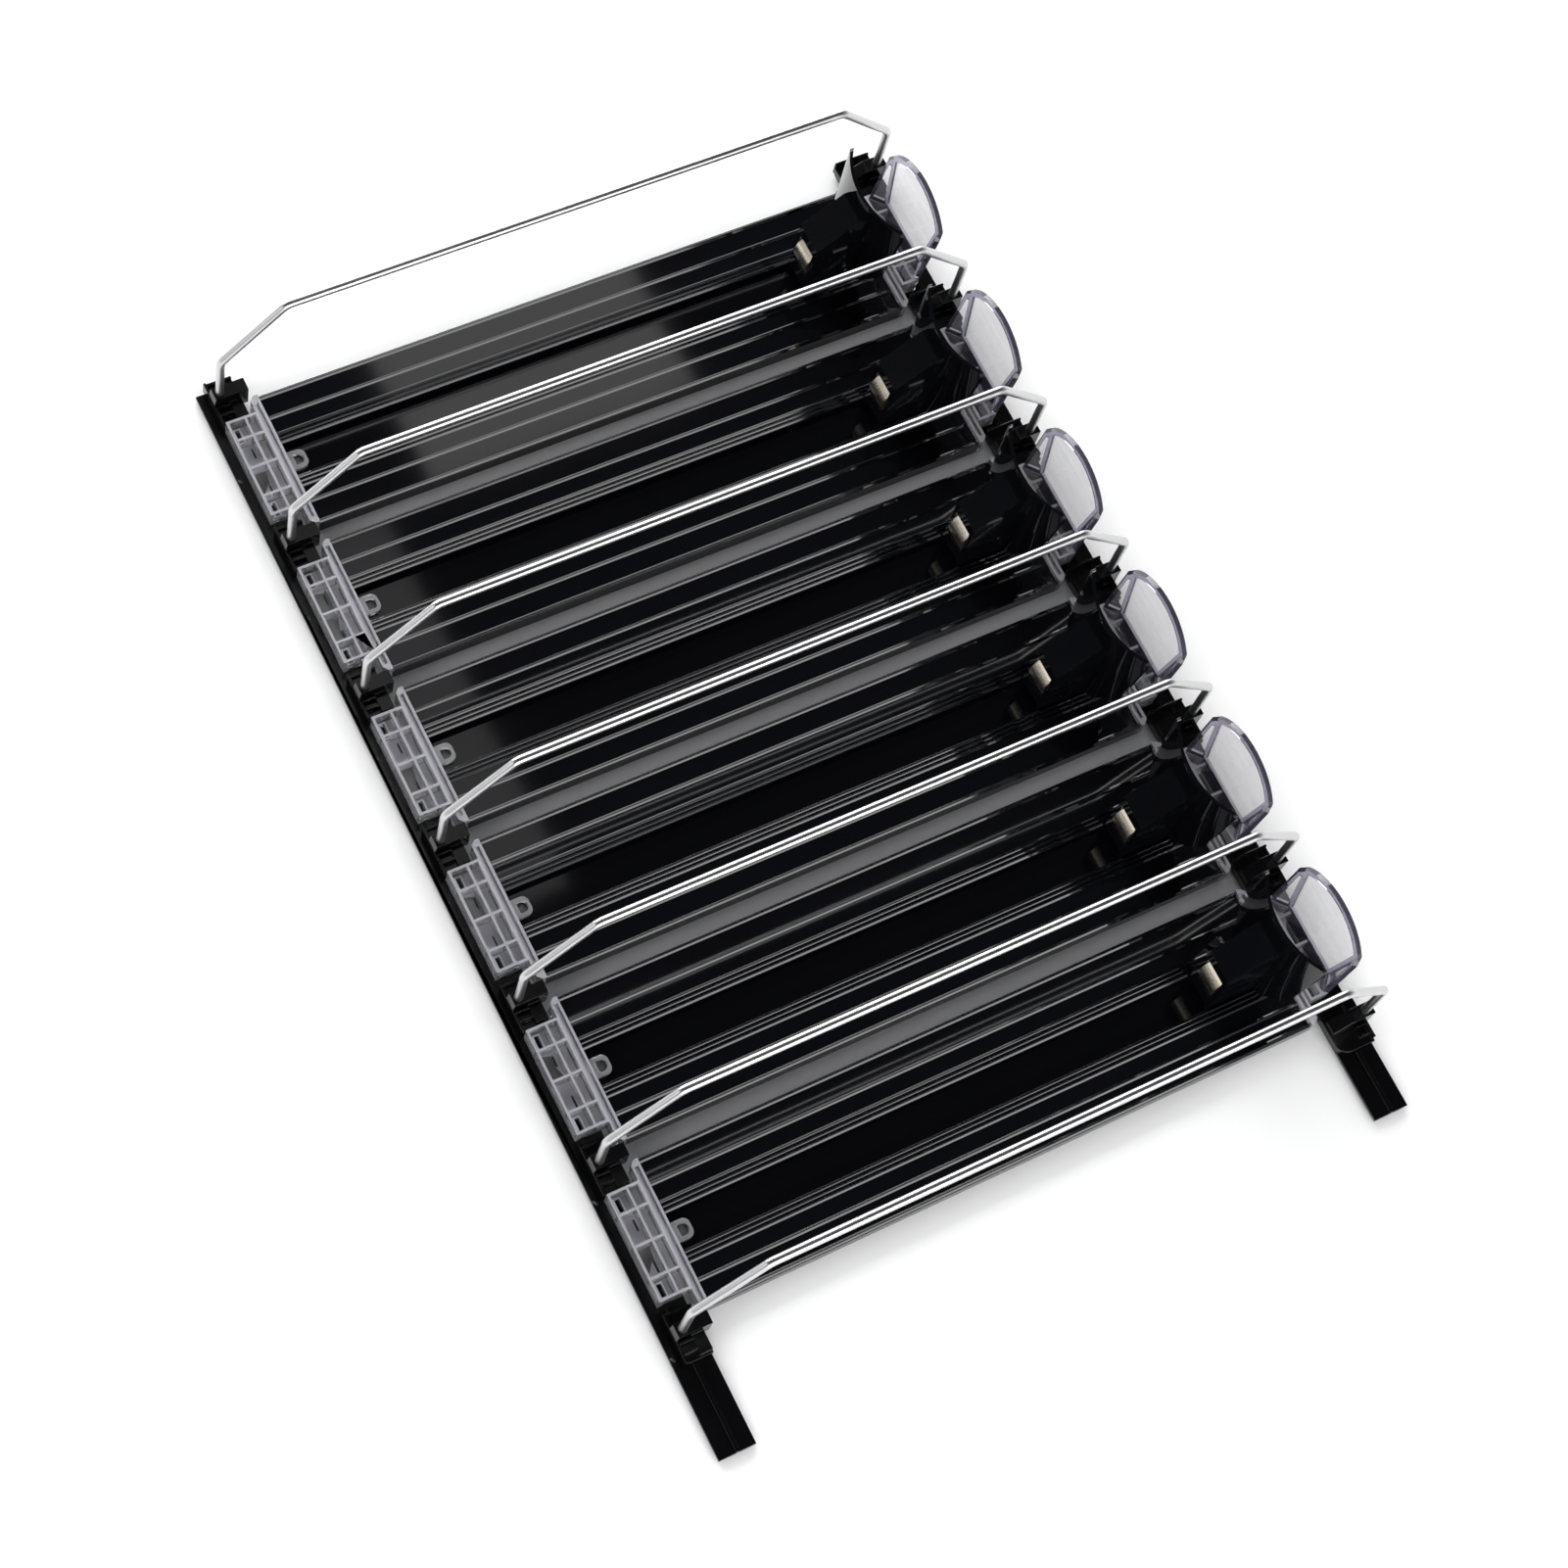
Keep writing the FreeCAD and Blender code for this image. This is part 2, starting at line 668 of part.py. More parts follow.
def front_clip(x):
    """Clip on the front rail: the post reaches over the rail's outer edge and ramps down behind."""
    low = -half_rail
    high = front_clip_inner
    parts = [
        post(low - post_overhang, wire_radius + post_tail - clip_panel_width, front_post_inner),
        box(-clip_left + clip_wall, -post_width / 2, low, low + clip_wall, base_bottom, clip_wall_top),
        box(post_width / 2, clip_right, low, low + clip_panel_width, base_bottom, clip_step_top),
        box(clip_right - clip_wall, clip_right, low, high, base_bottom, clip_wall_top),
    ] + clip_ribs(low, low + clip_panel_width)
    body = rounded_saddle(low, high, clip_panel_width).fuse(parts)
    body = body.cut([rib_groove(-clip_left, clip_right, 0), wire_hole(wire_front_y - front_rail_y)])
    body.translate(Vector(x, front_rail_y, 0))
    return body.removeSplitter()


def export(name, shape):
    shape.exportStep("parts/" + name + ".step")


def main():
    os.makedirs("parts", exist_ok=True)
    export("rear_rail", rail(first_divider_x - rear_rail_left, rear_rail_y))
    export("front_rail", rail(first_divider_x - front_rail_left, front_rail_y))
    for index in range(lane_count):
        x = lane_x(index)
        number = str(index + 1)
        export("track_" + number, track(x))
        export("rear_connector_" + number, rear_connector(x))
        export("front_stop_" + number, front_stop(x))
        export("pusher_" + number, pusher(x))
        export("spring_" + number, spring(x))
    for index in range(divider_count):
        x = divider_x(index)
        number = str(index + 1)
        export("divider_wire_" + number, divider_wire(x))
        export("rear_clip_" + number, rear_clip(x))
        export("front_clip_" + number, front_clip(x))


main()
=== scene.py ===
"""Looks of the can organizer: ribbed black lanes, clear stops and connectors, polished wire dividers."""

import json
import math

import bmesh
import bpy
import numpy as np
from bpy.props import FloatProperty, FloatVectorProperty, IntProperty, PointerProperty
from mathutils import Matrix, Vector

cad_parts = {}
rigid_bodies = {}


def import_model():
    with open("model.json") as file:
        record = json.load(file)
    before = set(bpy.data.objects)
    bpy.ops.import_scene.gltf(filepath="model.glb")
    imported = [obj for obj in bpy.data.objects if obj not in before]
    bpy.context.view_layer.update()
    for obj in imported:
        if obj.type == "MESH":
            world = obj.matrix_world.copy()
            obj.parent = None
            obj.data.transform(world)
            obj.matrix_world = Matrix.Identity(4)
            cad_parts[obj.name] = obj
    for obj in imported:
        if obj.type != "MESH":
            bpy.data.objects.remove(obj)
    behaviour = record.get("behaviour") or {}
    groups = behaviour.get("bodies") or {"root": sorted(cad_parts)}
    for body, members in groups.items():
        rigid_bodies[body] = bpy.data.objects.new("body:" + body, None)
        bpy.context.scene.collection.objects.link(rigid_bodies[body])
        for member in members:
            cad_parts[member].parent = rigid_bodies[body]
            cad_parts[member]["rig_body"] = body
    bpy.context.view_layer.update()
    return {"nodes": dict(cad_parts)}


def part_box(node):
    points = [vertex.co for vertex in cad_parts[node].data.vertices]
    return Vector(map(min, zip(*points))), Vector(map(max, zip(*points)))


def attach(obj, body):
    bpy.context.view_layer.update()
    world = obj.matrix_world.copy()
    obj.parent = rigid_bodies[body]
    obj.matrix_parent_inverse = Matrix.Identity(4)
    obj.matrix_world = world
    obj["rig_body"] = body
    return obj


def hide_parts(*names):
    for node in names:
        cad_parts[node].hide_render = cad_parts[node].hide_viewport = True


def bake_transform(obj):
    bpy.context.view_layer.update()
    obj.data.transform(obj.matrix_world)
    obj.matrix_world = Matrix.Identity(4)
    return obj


bl_info = {
    "name": "Can organizer",
    "version": (1, 0, 0),
    "blender": (4, 5, 0),
    "location": "3D View > Sidebar > Can organizer",
    "description": "Dresses the can organizer with mouldings, wires, roller springs and a pale studio",
    "category": "Add Mesh",
}

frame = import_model()

MM = 0.001
LANES = sum(name.startswith("track_") for name in frame["nodes"])
DIVIDERS = LANES + 1

# Edges sharper than this are rounded on the mouldings
CREASE = math.radians(30)

# Points this close are one point, and faces this near to level with each other are one face
WELD = 0.002 * MM
FLAT = math.radians(0.6)

# What tells the faces of the clear mouldings apart: widths, and heights above the shelf
WALL_TOP_WIDTH = 2.5 * MM
WINDOW_RIM_LOW = 5.5 * MM
WINDOW_RIM_HIGH = 6.2 * MM
CELL_TOP = 12.5 * MM
PANE_FOOT = 15 * MM
WING_RIM_WIDTH = 2.4 * MM
PANE_RIM_WIDTH = 3.2 * MM

# Depths on a rear connector, from the tip of its tab
TAB_END = 8.7 * MM
INNER_ROW_FRONT = 13.5 * MM
INNER_ROW_REAR = 18.5 * MM


class OrganizerSizes(bpy.types.PropertyGroup):
    """Sizes of the organizer's own pieces, in metres."""

    wire_diameter: FloatProperty(
        name="Wire diameter", description="Thickness of the divider wire", default=3.8 * MM, unit="LENGTH"
    )
    wire_bend: FloatProperty(
        name="Wire bend", description="Radius of the wire's four bends", default=5.5 * MM, unit="LENGTH"
    )
    wire_shoulder: FloatProperty(
        name="Wire shoulder", description="Height and depth of the slanted shoulders",
        default=29.4 * MM, unit="LENGTH",
    )
    wire_sides: IntProperty(name="Wire sides", description="Facets around the wire", default=32)
    bend_steps: IntProperty(name="Bend steps", description="Points along each bend of the wire", default=12)
    coil_radius: FloatProperty(
        name="Coil radius", description="Outer radius of the rolled spring", default=9.3 * MM, unit="LENGTH"
    )
    coil_bore: FloatProperty(
        name="Coil bore", description="Inner radius of the rolled spring", default=4.2 * MM, unit="LENGTH"
    )
    coil_turns: IntProperty(name="Coil turns", description="Turns of strip in the roll", default=10)
    turn_steps: IntProperty(name="Turn steps", description="Points along each turn of the roll", default=48)
    strip_thickness: FloatProperty(
        name="Strip thickness", description="Thickness of the spring strip", default=0.3 * MM, unit="LENGTH"
    )
    strip_run: FloatProperty(
        name="Strip run", description="Flat length of strip ahead of the pusher",
        default=15.85 * MM, unit="LENGTH",
    )
    deck_edge: FloatProperty(
        name="Track edge", description="Rounding of the track's ribs and edges",
        default=0.22 * MM, unit="LENGTH",
    )
    rail_edge: FloatProperty(
        name="Rail edge", description="Rounding of the rails' edges", default=0.25 * MM, unit="LENGTH"
    )
    clip_edge: FloatProperty(
        name="Clip edge", description="Rounding of the clips' edges", default=0.3 * MM, unit="LENGTH"
    )
    pusher_edge: FloatProperty(
        name="Pusher edge", description="Rounding of the pusher's edges", default=0.35 * MM, unit="LENGTH"
    )
    clear_edge: FloatProperty(
        name="Clear edge", description="Rounding of the clear mouldings' edges",
        default=0.25 * MM, unit="LENGTH",
    )


class OrganizerFinishes(bpy.types.PropertyGroup):
    """Colours and gloss of the organizer's materials."""

    gloss_black: FloatVectorProperty(
        name="Gloss black", description="Colour of the tracks and pushers", subtype="COLOR", size=4,
        default=(0.0028, 0.003, 0.0042, 1.0),
    )
    gloss_roughness: FloatProperty(
        name="Gloss roughness", description="Roughness of the tracks and pushers",
        default=0.05, min=0.0, max=1.0,
    )
    satin_black: FloatVectorProperty(
        name="Satin black", description="Colour of the rails and clips", subtype="COLOR", size=4,
        default=(0.002, 0.002, 0.0023, 1.0),
    )
    satin_roughness: FloatProperty(
        name="Satin roughness", description="Roughness of the rails and clips", default=0.16, min=0.0, max=1.0
    )
    clear_tint: FloatVectorProperty(
        name="Clear tint", description="Tint of the clear plastic", subtype="COLOR", size=4,
        default=(0.985, 0.985, 0.992, 1.0),
    )
    clear_share: FloatProperty(
        name="Clear share", description="Share of the light that goes through the clear plastic",
        default=0.9, min=0.0, max=1.0,
    )
    rim_tint: FloatVectorProperty(
        name="Rim tint", description="Tint of the clear stops' thick rims", subtype="COLOR", size=4,
        default=(0.2, 0.18, 0.27, 1.0),
    )
    # Painted highlight: a whitish colour mixed onto the clear mouldings' wall tops, ledges and cells, in
    # place of the bright room they would mirror and the white floor seen through them
    frost_share: FloatProperty(
        name="Highlight share", description="How highlighted the clear walls' tops are", default=0.4, min=0.0, max=1.0
    )
    frost_colour: FloatVectorProperty(
        name="Highlight colour", description="Colour of the highlighted edges", subtype="COLOR", size=4,
        default=(0.84, 0.83, 0.92, 1.0),
    )
    wire_colour: FloatVectorProperty(
        name="Wire colour", description="Colour of the plated wire", subtype="COLOR", size=4,
        default=(0.64, 0.64, 0.64, 1.0),
    )
    spring_colour: FloatVectorProperty(
        name="Spring colour", description="Colour of the spring strip", subtype="COLOR", size=4,
        default=(0.66, 0.6, 0.5, 1.0),
    )


class OrganizerStage(bpy.types.PropertyGroup):
    """Camera and floor."""

    camera_place: FloatVectorProperty(
        name="Camera place", description="Where the camera stands", subtype="TRANSLATION", size=3,
        default=(-0.405339, 0.458411, 1.290383),
    )
    camera_heading: FloatProperty(
        name="Camera heading", description="Direction of the view in plan, from +X",
        default=math.radians(-48.355), subtype="ANGLE",
    )
    camera_dip: FloatProperty(
        name="Camera dip", description="Angle of the view below the horizon",
        default=math.radians(65.195), subtype="ANGLE",
    )
    camera_roll: FloatProperty(
        name="Camera roll", description="Turn of the camera about its view",
        default=math.radians(23.116), subtype="ANGLE",
    )
    camera_lens: FloatProperty(name="Camera lens", description="Focal length in millimetres", default=76.41)
    floor_glow: FloatProperty(
        name="Floor glow", description="How far the pale floor shows white of its own",
        default=0.31, min=0.0, max=1.0,
    )
    floor_size: FloatProperty(name="Floor size", description="Side of the floor", default=8.0, unit="LENGTH")


class Value:
    """A node's output. Python's operators on it add Math nodes to its tree."""

    def __init__(self, tree, socket):
        self.tree = tree
        self.socket = socket

    def math(self, operation, other):
        """A Math node on this value and another."""
        node = self.tree.nodes.new("ShaderNodeMath")
        node.operation = operation
        connect(self.tree, self, node.inputs[0])
        connect(self.tree, other, node.inputs[1])
        return Value(self.tree, node.outputs[0])

    def __add__(self, other):
        return self.math("ADD", other)

    def __mul__(self, other):
        return self.math("MULTIPLY", other)

    __radd__ = __add__
    __rmul__ = __mul__


def connect(tree, value, socket):
    """Links a Value to a socket, or sets the socket's own number, colour or vector."""
    if isinstance(value, Value):
        tree.links.new(value.socket, socket)
    else:
        socket.default_value = value


class Finish:
    """The nodes of a material, or of the world, under construction."""

    def __init__(self, owner):
        self.owner = owner
        owner.use_nodes = True
        self.tree = owner.node_tree
        self.tree.nodes.clear()

    def node(self, kind, settings, sockets, output=0):
        """Adds a node of a kind, with its settings and the values or links of its sockets: one output."""
        node = self.tree.nodes.new(kind)
        for name, value in settings.items():
            setattr(node, name, value)
        for name, value in sockets.items():
            connect(self.tree, value, node.inputs[name])
        return Value(self.tree, node.outputs[output]) if node.outputs else None

    def place(self, scale=(1.0, 1.0, 1.0)):
        """Object coordinates, stretched by scale."""
        place = self.node("ShaderNodeTexCoord", {}, {}, "Object")
        return self.node("ShaderNodeMapping", {}, {"Vector": place, "Scale": scale})

    def noise(self, place, scale, detail=2.0):
        """Noise between 0 and 1, with features about 1/scale metres across."""
        return self.node("ShaderNodeTexNoise", {}, {"Vector": place, "Scale": scale, "Detail": detail}, "Fac")

    def blend(self, factor, first, second):
        """A colour between two others."""
        node = self.tree.nodes.new("ShaderNodeMix")
        node.data_type = "RGBA"
        connect(self.tree, factor, node.inputs[0])
        connect(self.tree, first, node.inputs[6])
        connect(self.tree, second, node.inputs[7])
        return Value(self.tree, node.outputs[2])

    def mix(self, factor, first, second):
        """A shader between two others."""
        node = self.tree.nodes.new("ShaderNodeMixShader")
        for socket, value in zip(node.inputs, (factor, first, second)):
            connect(self.tree, value, socket)
        return Value(self.tree, node.outputs[0])

    def relief(self, height):
        """The normal of a surface raised by height, in metres."""
        return self.node("ShaderNodeBump", {}, {"Height": height, "Distance": 1.0, "Strength": 1.0}, "Normal")

    def close(self, sockets, factor=0.0, second=None):
        """Ends the tree with a Principled shader, mixed by factor with a second one where it is given."""
        shader = self.node("ShaderNodeBsdfPrincipled", {}, sockets)
        if second:
            other = self.node("ShaderNodeBsdfPrincipled", {}, second)
            shader = self.mix(factor, shader, other)
        self.node("ShaderNodeOutputMaterial", {}, {"Surface": shader})
        return self.owner


def shade(colour, amount):
    """A colour made lighter or darker by a factor."""
    return tuple(c * amount for c in colour[:3]) + (1.0,)


def gloss_moulding(look):
    """Polished moulded plastic: slow waves from the mould, and a faint uneven gloss."""
    finish = Finish(bpy.data.materials.new("gloss_moulding"))
    waves = finish.noise(finish.place((1.0, 0.35, 1.0)), 38.0)
    dust = finish.noise(finish.place(), 900.0, 4.0)
    return finish.close({
        "Base Color": finish.blend(waves, shade(look.gloss_black, 0.8), shade(look.gloss_black, 1.3)),
        "Roughness": look.gloss_roughness - 0.02 + waves * 0.02 + dust * 0.02,
        "IOR": 1.5,
        "Normal": finish.relief(waves * 0.000022),
    })


def satin_moulding(look):
    """Moulded plastic with a fine grain, for the rails and clips."""
    finish = Finish(bpy.data.materials.new("satin_moulding"))
    grain = finish.noise(finish.place(), 1600.0, 3.0)
    cloud = finish.noise(finish.place(), 60.0)
    return finish.close({
        "Base Color": finish.blend(cloud, shade(look.satin_black, 0.8), shade(look.satin_black, 1.4)),
        "Roughness": look.satin_roughness - 0.05 + cloud * 0.06 + grain * 0.08,
        "IOR": 1.5,
        "Normal": finish.relief(grain * 0.000003),
    })


def clear_moulding(look):
    """Clear moulded plastic with slow waves in its surface.

    It is violet where the rim attribute marks a thick edge. Where the painted-highlight attribute marks the
    top of a wall, a whitish painted highlight is mixed in, standing in for the bright room mirrored there.
    """
    finish = Finish(bpy.data.materials.new("clear_moulding"))
    waves = finish.noise(finish.place(), 120.0)
    rim = finish.node("ShaderNodeAttribute", {"attribute_name": "rim"}, {}, "Fac")
    # The painted highlight: a whitish shader mixed in on the marked faces, in place of the bright room they
    # would mirror
    painted_highlight = finish.node("ShaderNodeAttribute", {"attribute_name": "painted_highlight"}, {}, "Fac")
    clear = finish.blend(waves, shade(look.clear_tint, 0.99), shade(look.clear_tint, 1.01))
    return finish.close({
        "Base Color": finish.blend(rim, clear, look.rim_tint),
        "Roughness": 0.01 + waves * 0.015,
        "IOR": 1.5,
        "Transmission Weight": look.clear_share,
        "Normal": finish.relief(waves * 0.00004),
    }, painted_highlight * look.frost_share, {"Base Color": look.frost_colour, "Roughness": 0.35, "IOR": 1.5})


def plated_wire(look):
    """Plated wire, polished along its length: fine streaks that run with the long top run."""
    finish = Finish(bpy.data.materials.new("plated_wire"))
    streak = finish.noise(finish.place((1.0, 0.02, 1.0)), 2600.0, 3.0)
    cloud = finish.noise(finish.place(), 70.0)
    return finish.close({
        "Base Color": finish.blend(cloud, shade(look.wire_colour, 0.93), look.wire_colour),
        "Metallic": 1.0,
        "Roughness": 0.24 + streak * 0.1 + cloud * 0.04,
    })


def rolled_steel(look):
    """Rolled strip: fine lines along the strip and a warm cast."""
    finish = Finish(bpy.data.materials.new("rolled_steel"))
    lines = finish.noise(finish.place((1.0, 0.05, 0.05)), 3000.0, 2.0)
    cloud = finish.noise(finish.place(), 150.0)
    return finish.close({
        "Base Color": finish.blend(cloud, shade(look.spring_colour, 0.85), look.spring_colour),
        "Metallic": 1.0,
        "Roughness": 0.22 + lines * 0.12,
        "Normal": finish.relief(lines * 0.000003),
    })


MAKERS = {
    "gloss_black_plastic": gloss_moulding,
    "black_plastic": satin_moulding,
    "clear_plastic": clear_moulding,
    "polished_wire": plated_wire,
    "spring_steel": rolled_steel,
}


def finish_for(slot):
    """The material of a slot, made once."""
    maker = MAKERS[slot]
    return bpy.data.materials.get(maker.__name__) or maker(bpy.context.scene.organizer_finishes)


def put_in_place(mesh, name, body, slot, node):
    """Makes the mesh an object that stands for a CAD node, and moves with a body where one is given."""
    mesh.materials.clear()
    mesh.materials.append(finish_for(slot))
    piece = bpy.data.objects.new(name, mesh)
    bpy.context.scene.collection.objects.link(piece)
    if body:
        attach(piece, body)
    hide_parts(node)
    return piece


def soften(mesh, angle):
    """Smooth shading, with a crease where faces meet at more than angle."""
    mesh.shade_smooth()
    mesh.set_sharp_from_angle(angle=angle)


def grid_mesh(name, grid):
    """A closed skin over points (rows, columns, 3): columns join in a ring, and a fan closes each end."""
    rows, columns = grid.shape[:2]
    index = np.arange(rows * columns).reshape(rows, columns)
    near = index[:-1]
    far = index[1:]
    quads = np.stack([near, np.roll(near, -1, 1), np.roll(far, -1, 1), far], -1).reshape(-1, 4)
    first_hub = rows * columns
    ring = index[0]
    last = index[-1]
    fans = np.concatenate([
        np.stack([np.full(columns, first_hub), np.roll(ring, -1), ring], -1),
        np.stack([np.full(columns, first_hub + 1), last, np.roll(last, -1)], -1),
    ])
    points = np.concatenate([grid.reshape(-1, 3), grid[[0, -1]].mean(1)])
    corners = np.concatenate([quads[:, :3], quads[:, [0, 2, 3]], fans])
    a, b, c = (points[corners[:, i]] for i in range(3))
    if (a * np.cross(b, c)).sum() < 0:
        quads = quads[:, ::-1]
        fans = fans[:, ::-1]
    mesh = bpy.data.meshes.new(name)
    mesh.from_pydata(points, [], quads.tolist() + fans.tolist())
    return mesh


def whole_copy(node, name):
    """A copy of a CAD node's mesh, with its loose triangles joined and its flat faces made whole."""
    source = frame["nodes"][node].data
    points = np.empty(len(source.vertices) * 3, np.float32)
    source.vertices.foreach_get("co", points)
    corners = np.empty(len(source.loops), np.int32)
    source.loops.foreach_get("vertex_index", corners)
    mesh = bpy.data.meshes.new(name)
    mesh.from_pydata(points.reshape(-1, 3), [], corners.reshape(-1, 3).tolist())
    skin = bmesh.new()
    skin.from_mesh(mesh)
    bmesh.ops.remove_doubles(skin, verts=skin.verts, dist=WELD)
    bmesh.ops.dissolve_limit(skin, angle_limit=FLAT, verts=skin.verts, edges=skin.edges)
    skin.to_mesh(mesh)
    skin.free()
    return mesh


def face_facts(mesh):
    """The centre, normal and width of each face, where a width is twice the area over the outline."""
    count = len(mesh.polygons)
    centres = np.empty(count * 3, np.float32)
    mesh.polygons.foreach_get("center", centres)
    normals = np.empty(count * 3, np.float32)
    mesh.polygons.foreach_get("normal", normals)
    areas = np.empty(count, np.float32)
    mesh.polygons.foreach_get("area", areas)
    skin = bmesh.new()
    skin.from_mesh(mesh)
    outlines = np.array([sum(edge.calc_length() for edge in face.edges) for face in skin.faces])
    skin.free()
    return centres.reshape(-1, 3), normals.reshape(-1, 3), 2 * areas / outlines


def mark_faces(mesh, name, chosen):
    """A face attribute: how far each face is chosen."""
    marks = mesh.attributes.new(name, "FLOAT", "FACE")
    marks.data.foreach_set("value", chosen.astype(np.float32))


def frosted_tops(mesh, top):
    """Painted highlight for each face: for the narrow ones that look up, and more on ledges and window rims,
    where clear plastic would mirror the bright room.
    """
    centres, normals, widths = face_facts(mesh)
    height = centres[:, 2]
    narrow = (normals[:, 2] > 0.9) & (widths < WALL_TOP_WIDTH) & (height < top)
    ledge = (height > CELL_TOP) | ((height > WINDOW_RIM_LOW) & (height < WINDOW_RIM_HIGH))
    return narrow * (1.0 + ledge)


def connector_frost(mesh, tip):
    """Painted highlight for a rear connector: on its walls' tops, half as much on its tab, and a painted
    brightness of the white floor in its inner cells.
    """
    centres, normals, _ = face_facts(mesh)
    depth = centres[:, 1] - tip
    painted_highlight = frosted_tops(mesh, CELL_TOP)
    inner_row = (depth > INNER_ROW_FRONT) & (depth < INNER_ROW_REAR)
    floor = (normals[:, 2] > 0.9) & (painted_highlight == 0)
    painted_highlight[depth < TAB_END] *= 0.5
    # The inner cells' floors get a painted brightness, for the white floor that would show through them
    painted_highlight[floor & inner_row] = 0.9
    return painted_highlight


def rim_faces(mesh, lowest):
    """A stop's thick rims: the narrow faces above a height, and the wider upright ring around its pane."""
    centres, normals, widths = face_facts(mesh)
    upright = np.abs(normals[:, 1]) > 0.99
    narrow = (widths < WING_RIM_WIDTH) | (upright & (widths < PANE_RIM_WIDTH))
    return narrow & (centres[:, 2] > lowest)


def moulded_copy(node, name, slot, edge):
    """A CAD node with its edges rounded by edge, as a moulding has them."""
    mesh = whole_copy(node, name)
    soften(mesh, CREASE)
    body = frame["nodes"][node]["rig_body"]
    piece = put_in_place(mesh, name, body, slot, node)
    bevel = piece.modifiers.new("edges", "BEVEL")
    bevel.width = edge
    bevel.segments = 2
    bevel.limit_method = "ANGLE"
    bevel.angle_limit = CREASE
    bevel.harden_normals = True
    return piece


def bent_line(corners, bend, points_per_bend):
    """Points and unit directions of a line through the corners, with an arc at each inner one."""
    corners = np.asarray(corners, float)
    ways = np.diff(corners, axis=0)
    ways /= np.linalg.norm(ways, axis=1, keepdims=True)
    places = [corners[:1]]
    directions = [ways[:1]]
    for corner, into, out in zip(corners[1:-1], ways[:-1], ways[1:]):
        turn = math.acos(np.clip(into @ out, -1, 1))
        across = out - into * (into @ out)
        across /= np.linalg.norm(across)
        start = corner - into * bend * math.tan(turn / 2)
        angle = np.linspace(0, turn, points_per_bend)[:, None]
        places.append(start + bend * (np.sin(angle) * into + (1 - np.cos(angle)) * across))
        directions.append(np.cos(angle) * into + np.sin(angle) * across)
    places.append(corners[-1:])
    directions.append(ways[-1:])
    return np.concatenate(places), np.concatenate(directions)


def round_bar(name, places, directions, side, radius, sides):
    """A circle carried along the places, square to the directions; side is normal to the line's plane."""
    angle = np.linspace(0, math.tau, sides, endpoint=False)
    up = np.cross(directions, side)
    rings = np.cos(angle)[None, :, None] * side + np.sin(angle)[None, :, None] * up[:, None, :]
    return grid_mesh(name, places[:, None, :] + radius * rings)


class ORGANIZER_OT_wires(bpy.types.Operator):
    """Bends the seven divider wires"""

    bl_idname = "organizer.wires"
    bl_label = "Divider wires"

    def execute(self, context):
        sizes = context.scene.organizer_sizes
        radius = sizes.wire_diameter / 2
        for number in range(1, DIVIDERS + 1):
            node = f"divider_wire_{number}"
            low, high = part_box(node)
            x = (low.x + high.x) / 2
            front = low.y + radius
            rear = high.y - radius
            top = high.z - radius
            shoulder = sizes.wire_shoulder
            corners = [
                (x, front, low.z), (x, front, top - shoulder), (x, front + shoulder, top),
                (x, rear - shoulder, top), (x, rear, top - shoulder), (x, rear, low.z),
            ]
            places, directions = bent_line(corners, sizes.wire_bend, sizes.bend_steps)
            mesh = round_bar(node, places, directions, np.array((1.0, 0, 0)), radius, sizes.wire_sides)
            soften(mesh, math.radians(50))
            put_in_place(mesh, f"wire_{number}", f"divider_{number}", "polished_wire", node)
        return {"FINISHED"}


def strip_line(sizes, low, high):
    """The strip's line in the YZ plane: a spiral, a straight run down to the track, and a flat run forward.

    The spiral's radius grows evenly with its angle, from the bore to the outside, and the spiral ends where
    the straight run touches it.
    """
    radius = sizes.coil_radius - sizes.strip_thickness / 2
    centre = np.array((high.y - sizes.coil_radius, high.z - sizes.coil_radius))
    flat_z = low.z + sizes.strip_thickness / 2
    foot = np.array((low.y + sizes.strip_run, flat_z))
    gap = centre - foot
    reach = math.hypot(*gap)
    slope = math.atan2(gap[1], gap[0]) - math.asin(radius / reach)
    touch_angle = slope - math.pi / 2
    sweep = np.linspace(-math.tau * sizes.coil_turns, 0, sizes.turn_steps * sizes.coil_turns)
    grow = radius + (radius - sizes.coil_bore) * sweep / (math.tau * sizes.coil_turns)
    angle = touch_angle - sweep
    spiral = centre + grow[:, None] * np.stack([np.cos(angle), np.sin(angle)], -1)
    run = np.linspace(spiral[-1], foot, 12)[1:]
    flat = np.linspace(foot, (low.y, flat_z), 24)[1:]
    return np.concatenate([spiral, run, flat])


class ORGANIZER_OT_springs(bpy.types.Operator):
    """Rolls the six spring strips, each with a tail that draws out along its track"""

    bl_idname = "organizer.springs"
    bl_label = "Roller springs"

    def execute(self, context):
        sizes = context.scene.organizer_sizes
        for number in range(1, LANES + 1):
            node = f"spring_{number}"
            low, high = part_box(node)
            line = strip_line(sizes, low, high)
            way = np.gradient(line, axis=0)
            way /= np.linalg.norm(way, axis=1, keepdims=True)
            across = np.stack([-way[:, 1], way[:, 0]], -1) * sizes.strip_thickness / 2
            rows = []
            for x, side in ((low.x, -1), (high.x, -1), (high.x, 1), (low.x, 1)):
                edge = line + side * across
                rows.append(np.column_stack([np.full(len(edge), x), edge]))
            mesh = grid_mesh(node, np.stack(rows, 1))
            soften(mesh, math.radians(40))
            piece = put_in_place(mesh, f"roller_spring_{number}", None, "spring_steel", node)
            x = (low.x + high.x) / 2
            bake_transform(piece)
        return {"FINISHED"}


